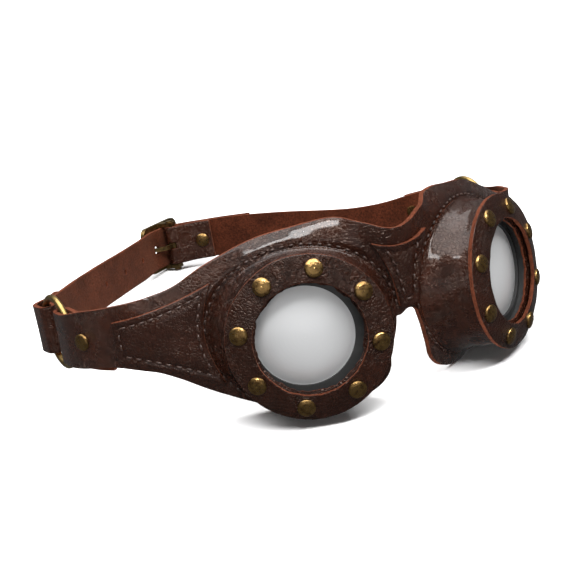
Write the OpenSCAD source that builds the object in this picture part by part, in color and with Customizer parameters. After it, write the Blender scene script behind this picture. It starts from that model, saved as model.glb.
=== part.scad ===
// Leather riding goggles: a wrap-round leather mask with two tall eyecups, domed mirrored
// lenses, riveted flange washers, a ring at each temple and a two-part buckled head strap.
// +Z is up, -Y is the way the wearer looks and +X is the wearer's left.

/* [Eyecups] */
// Distance of each flange centre from the middle plane
eye_x = 46.5; // [46:0.25:47.5]
// Outward turn of each eyecup
eye_yaw = 27; // [26:0.5:28]
// Upward tilt of the eyecups as the goggles stand
eye_pitch = 9.25; // [8.5:0.25:10]
// Outer radius of the flange washer
flange_r = 31; // [30.5:0.25:31.5]
// Radius of the opening in the flange washer
opening_r = 21; // [20.5:0.25:21.5]
// Radius of the circle that the flange rivets stand on
rivet_circle_r = 26; // [25.5:0.25:26.5]
// Rivets round each flange
rivet_count = 8; // [6:1:9]

/* [Leather] */
// Thickness of the mask and washer leather
leather_t = 1.8; // [1.6:0.1:2]
// Thickness of the soft tube leather
tube_t = 1; // [0.8:0.1:1.2]
// Thickness of the stitched patches
patch_t = 1.4; // [1.2:0.1:1.6]

/* [Lenses] */
// Radius of the visible dome at its rim
dome_r = 18.5; // [18:0.25:19]
// Radius of the sphere that the dome is cut from
dome_sphere_r = 55; // [50:1:60]
// Thickness of the lens
lens_t = 1.3; // [1.2:0.1:1.6]

/* [Rings and straps] */
// Inner diameter of the temple rings
ring_inner_d = 26; // [25.6:0.2:26.4]
// Wire thickness of the temple rings
ring_wire = 2.8; // [2.6:0.1:2.8]
// Width of the head straps
strap_w = 20; // [19:0.5:20.5]
// Downward slope of the straps as the goggles stand
strap_drop = 2.5; // [0:0.5:3]
// Distance between the spare holes in the strap
hole_pitch = 22; // [20:1:24]

/* [Hidden] */

RIGHT = -1;
LEFT = 1;
leather = "#3a211a";
dark_leather = "#2c1a16";
flesh_side = "#6e3d2b";
brass = "#a8863f";
black = "#151515";
mirror_grey = "#b9bcbe";

// The goggles stand with the origin under the middle of their bounding box
origin_y = 105.75;
origin_z = -35;

// Bent sheet of the mask, followed by arc length s from the nose
mask_pitch = 4.75;
mask_yaw = 27;
base_x = 38.7;
base_y = 16.9;
nose_bend_r = 19.5;
cheek_len = 35.5;
temple_bend_r = 81;
temple_bend = 40;
tab_bend_r = 28;
tab_bend = 90 - mask_yaw - temple_bend;
tab_run = 9.5;
nose_corner_y = base_y - base_x * tan(mask_yaw);
nose_y = nose_corner_y + nose_bend_r * (1 / cos(mask_yaw) - 1);
arc_1 = nose_bend_r * mask_yaw * PI / 180;
run_1 = base_x / cos(mask_yaw) - nose_bend_r * tan(mask_yaw) + cheek_len;
arc_2 = temple_bend_r * temple_bend * PI / 180;
arc_3 = tab_bend_r * tab_bend * PI / 180;
s_base = arc_1 + run_1 - cheek_len;
s_1 = arc_1;
s_2 = s_1 + run_1;
s_3 = s_2 + arc_2;
s_4 = s_3 + arc_3;
s_tip = s_4 + tab_run;

// Seam where an eyecup tube meets the mask
seam_a = 36;
seam_b = 31.8;

// Temple ring and the leather folds that it runs in
wire_r = ring_wire / 2;
ring_r = ring_inner_d / 2 + wire_r;
fold_gap = ring_wire + 0.7;
loop_r = (fold_gap + leather_t) / 2;
tab_w = 22;
tab_mid = 1.2;
tab_tip = plan(s_tip);
ring_x = tab_tip[0] - leather_t - fold_gap / 2;
ring_y = tab_tip[1] - leather_t + fold_reach(tab_w) - 0.3;
ring_z = tab_mid;
tail_len = 24;

// Head straps and buckle, in the frame of the straps
strap_tip_y = ring_y + fold_reach(strap_w) - leather_t - 0.4;
bar_x = -2;
bar_y = 211;
buckle_turn = 34;
bar_r = 1.2;
bar_fold_r = bar_r + 0.25;
lift = bar_fold_r + leather_t * 1.5 + 0.5;
rail = 2.2;
rail_w = 2.8;
ear_w = 2;
frame_len = 33;
frame_h = 24.4;
rail_lift = lift + leather_t / 2 + rail / 2 + 0.6;
prong_w = 2;
prong_hole_u = -10;
prong_hole_r = 2.3;
spare_hole_r = 1.3;

// Height profile of the flange washer over the eyecup axis
function washer_z(r) = 2.7 - 0.13 * (r - 21) - 0.0142 * pow(r - 21, 2);

// Reach of a leather fold into a ring, from the ring centre, for a band of this width
function fold_reach(w) = sqrt(pow(ring_inner_d / 2, 2) - pow(w / 2, 2));

// Plan position and heading of the mask's outer face, right and left alike
function plan_half(s) =
    s < s_1 ? arc_point([0, nose_y], 0, nose_bend_r, s)
    : s < s_2 ? let (p = plan_half(s_1 - 0.0001))
        [p[0] + (s - s_1) * cos(mask_yaw), p[1] + (s - s_1) * sin(mask_yaw), mask_yaw]
    : s < s_3 ? arc_point(plan_half(s_2 - 0.0001), mask_yaw, temple_bend_r, s - s_2)
    : s < s_4 ? arc_point(plan_half(s_3 - 0.0001), mask_yaw + temple_bend, tab_bend_r, s - s_3)
    : let (p = plan_half(s_4 - 0.0001)) [p[0], p[1] + s - s_4, 90];
function arc_point(start, heading, r, run) =
    let (turned = heading + run / r * 180 / PI)
    [start[0] + r * (sin(turned) - sin(heading)),
     start[1] + r * (cos(heading) - cos(turned)), turned];
function plan(s) = let (p = plan_half(abs(s))) s < 0 ? [-p[0], p[1], -p[2]] : p;

// A point of the mask: s along the sheet, w up it and t out of it
function on_mask(s, w, t) = let (p = plan(s)) [p[0] + t * sin(p[2]), p[1] - t * cos(p[2]), w];

// Smooth curve through hand-set points, with equal steps between them
function spline(p, steps) = concat(
    [for (i = [0:len(p) - 2], j = [0:steps - 1]) spline_point(p, i, j / steps)],
    [p[len(p) - 1]]);
function spline_point(p, i, f) =
    let (a = p[max(i - 1, 0)], b = p[i], c = p[i + 1], d = p[min(i + 2, len(p) - 1)])
    0.5 * (2 * b + (c - a) * f + (2 * a - 5 * b + 4 * c - d) * f * f
           + (3 * b - a - 3 * c + d) * f * f * f);
// Height of an outline over s, by straight steps between the points of a smooth curve
function height(curve, s) = lookup(s, curve);

// Outline of the right and left halves of the mask: [along, up]
top_edge = spline([[-6, 31.5], [0, 30.5], [6, 31.5], [14, 34.5], [24, 37.2], [36, 37.4],
                   [48, 35.8], [64, 32.6], [78, 26.6], [90, 21.4], [104, 17.8],
                   [120, 16.2], [136, 13.6], [146, 12.2], [160, 12.2]], 6);
bottom_edge = spline([[-4.4, -4], [-2.2, -1.8], [0, -1.2], [2.2, -1.8], [4.4, -4], [6, -9],
                      [6.9, -14], [7.4, -20], [9.6, -25.6], [15, -30.4], [23, -33.2],
                      [34, -33.6], [46, -33.4], [58, -31.6], [70, -26.4], [82, -20],
                      [94, -14], [104, -10], [116, -8.2], [132, -8.6], [146, -9.8],
                      [160, -9.8]], 6);
half_steps = concat([1.2, 2.6, 3.8, 5, 6, 6.6, 7, 7.4, 8.4, 10, 12.5, 16],
                    [for (s = [20:4:144]) s], [s_tip - leather_t - fold_gap / 2]);
mask_steps = concat([for (i = [len(half_steps) - 1:-1:0]) -half_steps[i]], [0], half_steps);

// Goggles frame: stand them on the table with the origin under their middle
module stand() { translate([0, -origin_y, -origin_z]) children(); }
module mask_frame() { stand() rotate([-mask_pitch, 0, 0]) children(); }
// Eyecup frame: +Z runs out of the cup along its axis, from the plane of the flange rim
module eye_frame(side) {
    stand() rotate([-eye_pitch, 0, 0]) translate([side * eye_x, 0, 0])
        rotate([0, 0, side * eye_yaw]) rotate([90, 0, 0]) children();
}
// Strap frame: the mask's frame turned about the axis through both ring centres
module strap_frame() {
    mask_frame() translate([0, ring_y, ring_z]) rotate([-strap_drop, 0, 0])
        translate([0, -ring_y, 0]) children();
}
module buckle_place() {
    strap_frame() translate([bar_x, bar_y, 0]) rotate([0, 0, buckle_turn]) children();
}

// Closed slab between two grids of points of the same size
module slab(outer, inner) {
    rows = len(outer);
    cols = len(outer[0]);
    n = rows * cols;
    points = concat([for (r = outer, p = r) p], [for (r = inner, p = r) p]);
    faces = concat(
        [for (i = [0:rows - 2], j = [0:cols - 2]) each quad(i * cols + j, i * cols + j + 1,
            (i + 1) * cols + j + 1, (i + 1) * cols + j)],
        [for (i = [0:rows - 2], j = [0:cols - 2]) each quad(n + (i + 1) * cols + j,
            n + (i + 1) * cols + j + 1, n + i * cols + j + 1, n + i * cols + j)],
        [for (j = [0:cols - 2]) each quad(j + 1, j, n + j, n + j + 1)],
        [for (j = [0:cols - 2]) each quad((rows - 1) * cols + j, (rows - 1) * cols + j + 1,
            n + (rows - 1) * cols + j + 1, n + (rows - 1) * cols + j)],
        [for (i = [0:rows - 2]) each quad(i * cols, (i + 1) * cols, n + (i + 1) * cols,
            n + i * cols)],
        [for (i = [0:rows - 2]) each quad((i + 1) * cols + cols - 1, i * cols + cols - 1,
            n + i * cols + cols - 1, n + (i + 1) * cols + cols - 1)]);
    polyhedron(points, faces);
}
function quad(a, b, c, d) = [[a, c, b], [a, d, c]];

// Closed shell of rings of points, each ring joined to the next and the last to the first
module ring_shell(rings) {
    m = len(rings);
    k = len(rings[0]);
    points = [for (r = rings, p = r) p];
    faces = [for (i = [0:m - 1], j = [0:k - 1])
        each quad(i * k + j, ((i + 1) % m) * k + j, ((i + 1) % m) * k + (j + 1) % k,
                  i * k + (j + 1) % k)];
    polyhedron(points, faces);
}

// Flat strip standing on edge along a plan path, from height z0 to z1
module band(path, t, z0, z1) {
    n = len(path) - 1;
    dirs = [for (i = [0:n]) let (d = path[min(i + 1, n)] - path[max(i - 1, 0)]) d / norm(d)];
    left = [for (i = [0:n]) path[i] + t / 2 * [-dirs[i][1], dirs[i][0]]];
    right = [for (i = [n:-1:0]) path[i] - t / 2 * [-dirs[i][1], dirs[i][0]]];
    translate([0, 0, z0]) linear_extrude(height = z1 - z0) polygon(concat(left, right));
}
function half_turn(centre, r, start, sweep) =
    [for (i = [0:12]) centre + r * [cos(start + sweep * i / 12), sin(start + sweep * i / 12)]];

// Rivet with a domed cap; its seat is at z = 0 and grip is the leather that it holds
module rivet(grip, cap_r = 3.5, back_r = 2.8) {
    rotate_extrude($fn = 40) polygon([[0, -grip - 0.7], [back_r - 0.4, -grip - 0.7],
        [back_r, -grip], [1.3, -grip], [1.3, 0], [cap_r, 0], [cap_r, 0.45],
        [cap_r * 0.96, 0.72], [cap_r * 0.86, 1], [cap_r * 0.66, 1.26], [cap_r * 0.36, 1.44],
        [0, 1.5]]);
}
module at_flange_rivets(turn) {
    slope = (washer_z(rivet_circle_r - 2) - washer_z(rivet_circle_r + 2)) / 4;
    for (i = [0:rivet_count - 1])
        rotate([0, 0, turn + i * 360 / rivet_count])
            translate([rivet_circle_r, 0, washer_z(rivet_circle_r)])
                rotate([0, atan(slope), 0]) translate([0, 0, -0.15]) children();
}

// One piece of leather: wide over the eyes, narrow at the temples, each end folded over a ring
module mask_panel() color(leather) mask_frame() {
    difference() {
        slab(mask_face(0), mask_face(-leather_t));
        for (side = [RIGHT, LEFT]) eye_hole(side);
    }
    for (side = [RIGHT, LEFT]) tab_fold(side);
}
function mask_face(t) = [for (w = [0:3]) [for (s = mask_steps)
    let (lo = height(bottom_edge, abs(s)), hi = height(top_edge, abs(s)))
    on_mask(s, lo + (hi - lo) * w / 3, t)]];
module eye_hole(side) {
    translate([side * base_x, base_y, 0]) rotate([0, 0, side * mask_yaw]) rotate([90, 0, 0])
        linear_extrude(height = 12, center = true)
            polygon([for (a = [0:7.5:352.5]) [(seam_a - 3) * cos(a), (seam_b - 3) * sin(a)]]);
}
// Turned-back end of the mask, from the outer layer round the ring wire to the riveted tail
module tab_fold(side) {
    centre = [ring_x, tab_tip[1] - leather_t / 2 - loop_r];
    inner_x = ring_x - loop_r;
    tail = spline([[inner_x, centre[1]], [inner_x, centre[1] - 11], tail_point(s_3 + 0.5, 1),
        tail_point(s_3 - 7, 0), tail_point(s_3 - 14, 0)], 5);
    path = concat([[ring_x + loop_r, centre[1] - 0.6]], half_turn(centre, loop_r, 0, 180),
        [for (i = [1:len(tail) - 1]) tail[i]]);
    mirror([side < 0 ? 1 : 0, 0, 0])
        band(path, leather_t, tab_mid - tab_w / 2, tab_mid + tab_w / 2);
}
function tail_point(s, gap) = let (p = on_mask(s, 0, -1.5 * leather_t - 0.05 - gap))
    [p[0], p[1]];

// Stitched patch over the nose, wide at the brow and narrow between the eyecups
module nose_patch() color(dark_leather) mask_frame()
    slab(nose_face(patch_t + 0.05), nose_face(0.05));
function nose_face(t) = [for (v = [0:0.125:1]) [for (u = [-1:0.2:1])
    let (half = 4.3 + 3 * v + 5.2 * v * v * v, sag = 1.6 * v * (1 - u * u))
    on_mask(u * half, 2 + 25 * v - sag, t)]];

// Stitched patch on each temple, hollowed to follow the eyecup
module temple_patch(side) color(dark_leather) mask_frame()
    slab(temple_face(side, side > 0 ? patch_t + 0.05 : 0.05),
         temple_face(side, side > 0 ? 0.05 : patch_t + 0.05));
function temple_face(side, t) = [for (v = [0:0.125:1]) [for (u = [0:0.1:1])
    let (in_s = 75.4 + 5 * sin(180 * v), in_w = -17.8 + 39.4 * v,
         out_s = 115.6, out_w = -5.2 + 16 * v, bow = 4 * u * (1 - u))
    on_mask(side * (in_s + (out_s - in_s) * u),
            in_w + (out_w - in_w) * u + bow * (1.6 - 3 * v), t)]];
module temple_patch_right() temple_patch(RIGHT);
module temple_patch_left() temple_patch(LEFT);

// Soft leather tube from the seam on the mask to the flange, its front edge hemmed inward
module eyecup_tube(side) color(leather) stand() {
    rings = [for (k = [0:7]) tube_ring(side, k)];
    ring_shell(side < 0 ? rings : [for (k = [7:-1:0]) rings[k]]);
}
hem_in_r = opening_r + 0.7;
tube_front_r = flange_r - 1.6;
tube_step = 7.5;
function hem_z(r) = washer_z(r) - leather_t - 0.05;
function tube_ring(side, k) = [for (a = [0:tube_step:359.9])
    k == 0 ? seam_point(side, a, 0, 0.05)
    : k == 1 ? blend_point(side, a, 0.5, -0.9)
    : k == 2 ? eye_point(side, a, tube_front_r, hem_z(tube_front_r) - 0.6)
    : k == 3 ? eye_point(side, a, tube_front_r - 0.7, hem_z(tube_front_r - 0.7))
    : k == 4 ? eye_point(side, a, hem_in_r, hem_z(hem_in_r))
    : k == 5 ? eye_point(side, a, hem_in_r, hem_z(hem_in_r) - tube_t)
    : k == 6 ? eye_point(side, a, tube_front_r - tube_t, hem_z(tube_front_r) - tube_t - 0.6)
    : seam_point(side, a, -tube_t * 1.3, 0.05)];
function seam_point(side, a, grow, t) =
    tilt(on_mask(side * (s_base + (seam_a + grow) * cos(a)), (seam_b + grow) * sin(a), t),
         mask_pitch);
function eye_point(side, a, r, z) =
    let (p = [r * cos(a), -z, r * sin(a)], c = cos(eye_yaw), d = sin(eye_yaw),
         x = p[0] * c + z * d, y = p[0] * d - z * c)
    tilt([side * (eye_x + x), y, p[2]], eye_pitch);
function blend_point(side, a, f, pinch) =
    (1 - f) * seam_point(side, a, pinch, 0.05)
    + f * eye_point(side, a, tube_front_r + pinch, hem_z(tube_front_r) - 0.6);
function tilt(p, angle) = [p[0], p[1] * cos(angle) + p[2] * sin(angle),
                           p[2] * cos(angle) - p[1] * sin(angle)];
module eyecup_tube_right() eyecup_tube(RIGHT);
module eyecup_tube_left() eyecup_tube(LEFT);

// Domed leather washer that clamps the front of the tube
module flange_washer(side) color(dark_leather) eye_frame(side) difference() {
    rotate_extrude($fn = 96) polygon(concat(
        [for (i = [0:6]) let (r = opening_r + (flange_r - opening_r) * i / 6) [r, washer_z(r)]],
        [for (i = [6:-1:0]) let (r = opening_r + (flange_r - 0.3 - opening_r) * i / 6)
            [r, washer_z(r) - leather_t]]));
    at_flange_rivets(flange_turn(side)) cylinder(r = 1.4, h = 8, center = true, $fn = 24);
}
function flange_turn(side) = side < 0 ? -14 : -21;
module flange_washer_right() flange_washer(RIGHT);
module flange_washer_left() flange_washer(LEFT);

module flange_rivets(side) color(brass) eye_frame(side)
    at_flange_rivets(flange_turn(side)) rivet(leather_t + tube_t + 2);
module flange_rivets_right() flange_rivets(RIGHT);
module flange_rivets_left() flange_rivets(LEFT);

// Black moulded cup behind the opening: a clamped flange, a wall and a seat for the lens
carrier_r = opening_r + 1.9;
carrier_out_r = rivet_circle_r + 1.4;
carrier_t = 1.2;
lens_rim_z = -5.5;
lens_offset = 1.6;
seat_z = lens_rim_z - lens_t;
// Height of the tube's hem over the carrier, which is a plain cone
hem_under = hem_z(hem_in_r) - tube_t;
hem_slope = (hem_under - hem_z(tube_front_r) + tube_t + 0.6) / (tube_front_r - tube_t - hem_in_r);
function carrier_z(r) = hem_under - 0.1 - hem_slope * (r - hem_in_r);
module lens_carrier(side) color(black) eye_frame(side) difference() {
    rotate_extrude($fn = 96) polygon([
        [0, seat_z - carrier_t], [carrier_r, seat_z - carrier_t],
        [carrier_r, carrier_z(carrier_r) - carrier_t],
        [carrier_out_r, carrier_z(carrier_out_r) - carrier_t],
        [carrier_out_r, carrier_z(carrier_out_r)],
        [carrier_r - carrier_t, carrier_z(carrier_r - carrier_t)],
        [carrier_r - carrier_t, seat_z], [0, seat_z]]);
    at_flange_rivets(flange_turn(side)) cylinder(r = 1.4, h = 12, center = true, $fn = 24);
    translate([side * lens_offset, 0, seat_z - 3])
        cylinder(r = dome_r - 1.5, h = 6, $fn = 96);
}
module lens_carrier_right() lens_carrier(RIGHT);
module lens_carrier_left() lens_carrier(LEFT);

// Mirrored dome with a flat rim that lies on the seat, set a little towards the temple
retainer_r = carrier_r - carrier_t - 0.15;
lens_out_r = retainer_r - lens_offset;
module lens(side) color(mirror_grey) eye_frame(side) translate([side * lens_offset, 0, 0]) {
    drop = sqrt(pow(dome_sphere_r, 2) - pow(dome_r, 2));
    inner_r = dome_sphere_r - lens_t;
    outer = [for (i = [0:12]) let (a = asin(dome_r / dome_sphere_r) * i / 12)
        [dome_sphere_r * sin(a), lens_rim_z - drop + dome_sphere_r * cos(a)]];
    edge_a = acos((drop - lens_t) / inner_r);
    inner = [for (i = [12:-1:0]) let (a = edge_a * i / 12)
        [inner_r * sin(a), lens_rim_z - drop + inner_r * cos(a)]];
    rotate_extrude($fn = 96) polygon(concat(outer,
        [[lens_out_r, lens_rim_z], [lens_out_r, seat_z + 0.02]], inner));
}
module lens_right() lens(RIGHT);
module lens_left() lens(LEFT);

// Snap ring that holds the lens rim down on its seat
module lens_retainer(side) color(black) eye_frame(side) difference() {
    translate([0, 0, lens_rim_z + 0.02]) cylinder(r = retainer_r, h = 1.4, $fn = 96);
    translate([side * lens_offset, 0, lens_rim_z - 1]) cylinder(r = dome_r + 0.3, h = 4, $fn = 96);
}
module lens_retainer_right() lens_retainer(RIGHT);
module lens_retainer_left() lens_retainer(LEFT);

// Rivet that closes each folded mask end
module tab_rivet(side) color(brass) mask_frame() {
    s = s_3 - 2;
    p = on_mask(side * s, tab_mid + 1, -0.1);
    translate(p) rotate([0, 0, plan(side * s)[2]]) rotate([90, 0, 0])
        rivet(2 * leather_t + 0.1);
}
module tab_rivet_right() tab_rivet(RIGHT);
module tab_rivet_left() tab_rivet(LEFT);

// Round wire ring standing upright at the temple
module temple_ring(side) color(brass) mask_frame()
    translate([side * ring_x, ring_y, ring_z]) rotate([0, 90, 0])
        rotate_extrude($fn = 96) translate([ring_r, 0]) circle(r = wire_r, $fn = 32);
module ring_right() temple_ring(RIGHT);
module ring_left() temple_ring(LEFT);

// A strap's fold round the rear of a ring: the tail lies outside and the strap proper inside
loop_y = strap_tip_y + leather_t / 2 + loop_r;
loop_x = ring_x - loop_r;
function ring_turn(side) = half_turn([side * ring_x, loop_y], loop_r, 180, 180);
// Point beside a path, d to its left
function step_out(path, i, d) =
    let (n = len(path) - 1, e = path[min(i + 1, n)] - path[max(i - 1, 0)], u = e / norm(e))
    path[i] + d * [-u[1], u[0]];
// Layer of leather beside the start of a path: open by wide at first, then lying close
function layer(path, wide, tight, hold, reach) =
    [for (i = [0:len(path) - 1]) let (r = norm(path[i] - path[0])) if (r < reach)
        step_out(path, i, wide + (tight - wide) * min(max((r - hold) / 7, 0), 1))];
function reversed(path) = [for (i = [len(path) - 1:-1:0]) path[i]];
function after(path, i) = [for (j = [i:len(path) - 1]) path[j]];
close = leather_t + 0.2;

// Point of the straps at u along and o outward of the buckle bar
bar = [bar_x, bar_y];
function at_bar(u, o) = bar + [u * cos(buckle_turn) - o * sin(buckle_turn),
                               u * sin(buckle_turn) + o * cos(buckle_turn)];
function round_bar(r, angle) = bar + r * [cos(angle), sin(angle)];

// Wearer's left strap: from the buckle bar to its ring, folded back at both ends
fold_r = bar_fold_r + leather_t / 2;
left_exit = 60;
left_run = spline([round_bar(fold_r, left_exit), [7, 208.5], [17, 201.5], [29, 190], [44, 171],
    [60, 151.5], [73, 139], [85, 131], [95, 126], [101.6, 121], [loop_x, 115.2],
    [loop_x, loop_y]], 5);
function left_path() = concat(
    reversed(layer(left_run, -2 * fold_r, -close, 3, 22)),
    [for (i = [1:11]) round_bar(fold_r, left_exit + 180 - i * 15)],
    left_run,
    after(ring_turn(LEFT), 1),
    after(layer(reversed(left_run), -2 * loop_r, -close, 7, 25), 1));
module strap_left() color(flesh_side) strap_frame() difference() {
    band(left_path(), leather_t, -strap_w / 2, strap_w / 2);
    prong_slot();
}
// Slot in the bar fold where the prong's loop sits
module prong_slot() {
    translate([bar_x, bar_y, 0]) rotate([0, 0, buckle_turn]) translate([-1.3, 0.2, 0])
        cube([10, 7, prong_w + 1.4], center = true);
}

// Wearer's right strap: punched, threaded through the buckle, its free end outside the other
right_run = concat(
    spline([[-loop_x, loop_y], [-loop_x, 115.2], [-101.4, 120], [-95, 127.5], [-81, 143.5],
            [-60, 164], [-39, 183.5], [-27, 195], at_bar(-14, lift), at_bar(-7, lift)], 5),
    [for (a = [90 + buckle_turn:-8:left_exit + 8]) round_bar(lift, a)],
    after(layer(left_run, leather_t + 0.5, leather_t + 0.95, 0, 44), 1));
function right_path() = concat(
    reversed(layer(right_run, 2 * loop_r, close, 7, 25)),
    after(ring_turn(RIGHT), 1), after(right_run, 1));
module strap_right() color(flesh_side) strap_frame() difference() {
    band(right_path(), leather_t, -strap_w / 2, strap_w / 2);
    strap_hole(at_bar(prong_hole_u, lift), buckle_turn, prong_hole_r);
    for (i = [1:3]) spare_hole(i * hole_pitch);
    free_tip_cut();
}
module strap_hole(p, angle, r) {
    translate([p[0], p[1], 0]) rotate([0, 0, angle]) rotate([90, 0, 0])
        cylinder(r = r, h = 6, center = true, $fn = 32);
}
// Spare holes on the stretch between the ring and the buckle
module spare_hole(back) {
    start = at_bar(prong_hole_u, lift);
    i = [for (j = [8:len(right_run) - 1]) if (norm(right_run[j] - start) < back) j][0];
    dir = right_run[i] - right_run[i - 1];
    p = start + back * (right_run[i] - start) / norm(right_run[i] - start);
    strap_hole(p, atan2(dir[1], dir[0]), spare_hole_r);
}
// Clipped corners of the free end
module free_tip_cut() {
    n = len(right_run) - 1;
    dir = right_run[n] - right_run[n - 1];
    for (z = [-1, 1]) translate([right_run[n][0], right_run[n][1], z * strap_w / 2])
        rotate([0, 0, atan2(dir[1], dir[0])]) rotate([0, 45, 0]) cube([8, 6, 8], center = true);
}

// Rivets that close the strap folds
module strap_rivet(side) color(brass) strap_frame() {
    run = side < 0 ? right_run : reversed(left_run);
    path_rivet(run, 20, side < 0 ? close + leather_t / 2 : -close - leather_t / 2);
}
// Rivet through both layers, its cap d to the left of the path
module path_rivet(path, reach, d) {
    i = [for (j = [0:len(path) - 1]) if (norm(path[j] - path[0]) > reach) j][0];
    dir = path[i + 1] - path[i - 1];
    p = step_out(path, i, d);
    translate([p[0], p[1], 0]) rotate([0, 0, atan2(dir[1], dir[0])])
        rotate([d > 0 ? -90 : 90, 0, 0]) rivet(2 * leather_t + 0.1);
}
module strap_rivet_right() strap_rivet(RIGHT);
module strap_rivet_left() strap_rivet(LEFT);
module buckle_rivet() color(brass) strap_frame()
    path_rivet(left_run, 14, -close - leather_t / 2);

// Open frame of the buckle, with an ear above and below that carries the bar
module buckle_frame() color(brass) buckle_place() {
    translate([0, rail_lift, 0]) rotate([90, 0, 0]) linear_extrude(height = rail, center = true)
        difference() {
            rounded(frame_len, frame_h, 4.5);
            rounded(frame_len - 2 * rail_w, frame_h - 2 * rail_w, 2.4);
        }
    for (z = [-1, 1]) difference() {
        translate([-2.2, -2.2, z > 0 ? frame_h / 2 - ear_w : -frame_h / 2])
            cube([4.4, rail_lift + 2.2, ear_w]);
        cylinder(r = bar_r + 0.05, h = 40, center = true, $fn = 32);
    }
}
module rounded(l, h, r) {
    for (x = [-1, 1], y = [-1, 1])
        translate([x * (l / 2 - r), y * (h / 2 - r)]) circle(r = r, $fn = 32);
    square([l - 2 * r, h], center = true);
    square([l, h - 2 * r], center = true);
}

// Bar of the buckle, with a peened head at each end
module buckle_bar() color(brass) buckle_place() {
    cylinder(r = bar_r, h = frame_h + 0.4, center = true, $fn = 32);
    for (z = [-1, 1]) translate([0, 0, z * (frame_h / 2 + 0.4)])
        cylinder(r = bar_r + 0.6, h = 0.7, center = true, $fn = 32);
}

// Prong: a loop round the bar and a cranked tongue through the strap onto the frame
prong_t = 1.6;
prong_rest = rail_lift + rail / 2 + prong_t / 2 + 0.05;
prong_line = [[-2, -0.6], [-7.4, -0.2], [prong_hole_u + 0.7, lift - 1.2],
              [prong_hole_u - 1.2, lift + 2], [-frame_len / 2 + rail_w + 0.3, prong_rest],
              [-frame_len / 2 - 1, prong_rest]];
module buckle_prong() color(brass) buckle_place() difference() {
    union() {
        cylinder(r = bar_r + 1.5, h = prong_w + 0.4, center = true, $fn = 40);
        band(prong_line, prong_t, -prong_w / 2, prong_w / 2);
    }
    cylinder(r = bar_r + 0.08, h = 2 * prong_w, center = true, $fn = 40);
}
mask_panel();
nose_patch();
temple_patch_right();
temple_patch_left();
eyecup_tube_right();
eyecup_tube_left();
lens_carrier_right();
lens_carrier_left();
lens_right();
lens_left();
lens_retainer_right();
lens_retainer_left();
flange_washer_right();
flange_washer_left();
flange_rivets_right();
flange_rivets_left();
tab_rivet_right();
tab_rivet_left();
ring_right();
ring_left();
strap_right();
strap_left();
strap_rivet_right();
strap_rivet_left();
buckle_rivet();
buckle_frame();
buckle_bar();
buckle_prong();
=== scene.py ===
"""Looks of the leather riding goggles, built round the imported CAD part.

Lengths are in millimetres in the same frames as the CAD, and become metres in the row frame
when a mesh is made. "right" is the wearer's right, which is -X.
"""

import math

import bmesh
import bpy
import numpy as np
from mathutils import Matrix, Vector, noise


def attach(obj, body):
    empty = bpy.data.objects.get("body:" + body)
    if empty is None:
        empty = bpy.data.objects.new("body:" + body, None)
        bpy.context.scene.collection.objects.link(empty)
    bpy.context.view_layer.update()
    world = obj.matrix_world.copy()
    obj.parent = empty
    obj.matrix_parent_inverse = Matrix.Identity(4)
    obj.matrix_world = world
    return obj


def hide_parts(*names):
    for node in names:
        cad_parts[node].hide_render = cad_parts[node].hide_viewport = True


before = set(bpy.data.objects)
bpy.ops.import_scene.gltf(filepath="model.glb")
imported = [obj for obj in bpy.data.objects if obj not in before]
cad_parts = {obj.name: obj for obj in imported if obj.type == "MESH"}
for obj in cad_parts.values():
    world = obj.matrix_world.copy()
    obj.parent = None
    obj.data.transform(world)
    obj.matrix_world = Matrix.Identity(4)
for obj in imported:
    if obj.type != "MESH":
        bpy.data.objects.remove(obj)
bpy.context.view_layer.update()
MM = 0.001
SIDES = {"right": -1, "left": 1}

# ---------------------------------------------------------------- driving sizes, as in the CAD
ORIGIN_Y, ORIGIN_Z = 105.75, -35.0
EYE_X, EYE_YAW, EYE_PITCH = 46.5, 27, 9.25
FLANGE_R, OPENING_R = 31, 21
MASK_YAW, MASK_PITCH, STRAP_DROP = 27, 4.75, 2.5
LEATHER_T, TUBE_T, PATCH_T = 1.8, 1.0, 1.4
RING_INNER, WIRE = 26, 2.8
STRAP_W, TAB_W, TAB_MID = 20, 22, 1.2
SEAM_A, SEAM_B, SEAM_TOP = 36, 31.8, 28.8
BASE_X, BASE_Y, NOSE_BEND_R, CHEEK_LEN = 38.7, 16.9, 19.5, 35.5
TEMPLE_BEND_R, TEMPLE_BEND, TAB_BEND_R, TAB_RUN = 81, 40, 28, 9.5
BAR_X, BAR_Y, BUCKLE_TURN, BAR_R = -2, 211, 34, 1.2
PRONG_HOLE_U = -10
HOLE_PITCH = 22

# Arc lengths at which the mask's plan curve changes: nose bend, cheek, temple bend, tab bend
TAN, COS = math.tan(math.radians(MASK_YAW)), math.cos(math.radians(MASK_YAW))
S_1 = NOSE_BEND_R * math.radians(MASK_YAW)
S_BASE = S_1 + BASE_X / COS - NOSE_BEND_R * TAN
S_2 = S_BASE + CHEEK_LEN
S_3 = S_2 + TEMPLE_BEND_R * math.radians(TEMPLE_BEND)
S_4 = S_3 + TAB_BEND_R * math.radians(90 - MASK_YAW - TEMPLE_BEND)
S_TIP = S_4 + TAB_RUN

# The plan curve as a fine table: heading over arc length, summed to a position
ARC_STEP = 0.05
ARC = np.arange(0, S_TIP + 30, ARC_STEP)
HEADING = np.radians(np.interp(ARC, [0, S_1, S_2, S_3, S_4],
                               [0, MASK_YAW, MASK_YAW, MASK_YAW + TEMPLE_BEND, 90]))
PLAN_X = np.concatenate([[0], np.cumsum(np.cos(HEADING[:-1]) * ARC_STEP)])
PLAN_Y = (BASE_Y - BASE_X * TAN + NOSE_BEND_R * (1 / COS - 1)
          + np.concatenate([[0], np.cumsum(np.sin(HEADING[:-1]) * ARC_STEP)]))


def rot(axis, degrees):
    return np.array(Matrix.Rotation(math.radians(degrees), 3, axis))


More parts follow.
